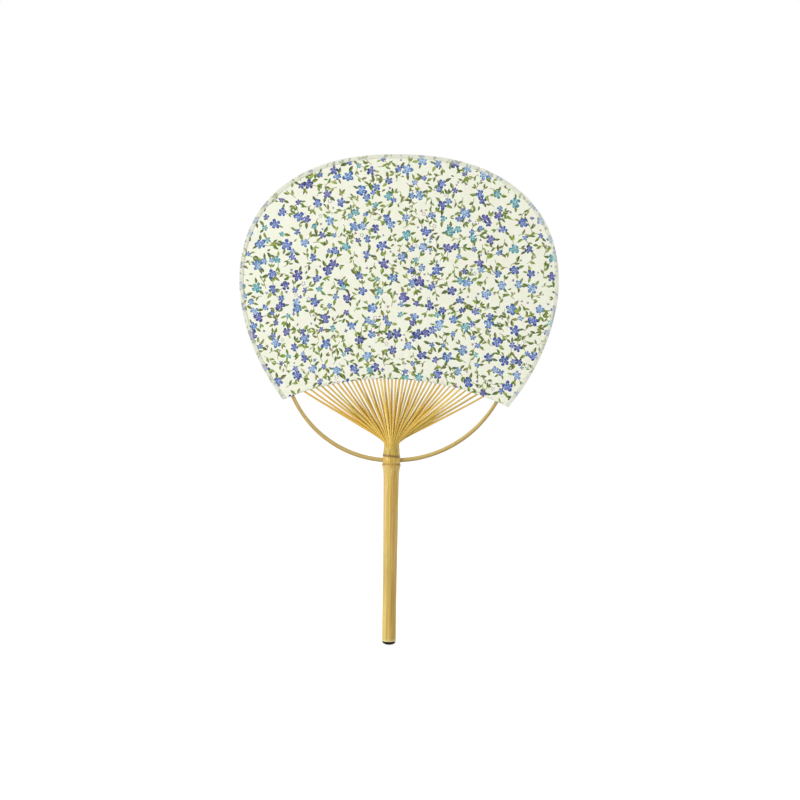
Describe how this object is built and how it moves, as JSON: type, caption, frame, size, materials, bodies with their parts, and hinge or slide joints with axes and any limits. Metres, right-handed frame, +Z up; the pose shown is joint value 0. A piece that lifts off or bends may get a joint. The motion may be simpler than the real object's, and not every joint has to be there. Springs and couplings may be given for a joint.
{
  "type": "round-handled bamboo fan",
  "caption": "Round hand fan: a bamboo handle split into a flat lattice of ribs, a thin bow through its node, floral cotton on the front and paper on the back.",
  "frame": {"origin": "centre of the round grip, on the handle's axis", "axes": "+Z up the handle to the face, the printed face looks towards -Y, +X to the right seen from the front"},
  "size_m": [0.2476, 0.0148, 0.3801],
  "materials": {
    "bamboo": "polished bamboo skin, pale golden, with darker split faces",
    "bow_bamboo": "shaved bamboo, satin",
    "thread": "undyed cotton thread",
    "printed_cotton": "fine cotton with a small blue and green floral print",
    "back_paper": "plain ivory handmade paper",
    "rim_paper": "thin translucent paper tape",
    "plug_wood": "raw willow",
    "black_lacquer": "black lacquer, satin gloss"
  },
  "bodies": {
    "root": {"split_culm": "bamboo", "bow": "bow_bamboo", "weave_thread": "thread", "bow_lashing_left": "thread", "bow_lashing_right": "thread", "front_cloth": "printed_cotton", "back_paper": "back_paper", "rim_tape": "rim_paper", "butt_plug": "plug_wood", "butt_lacquer": "black_lacquer"}
  },
  "joints": []
}
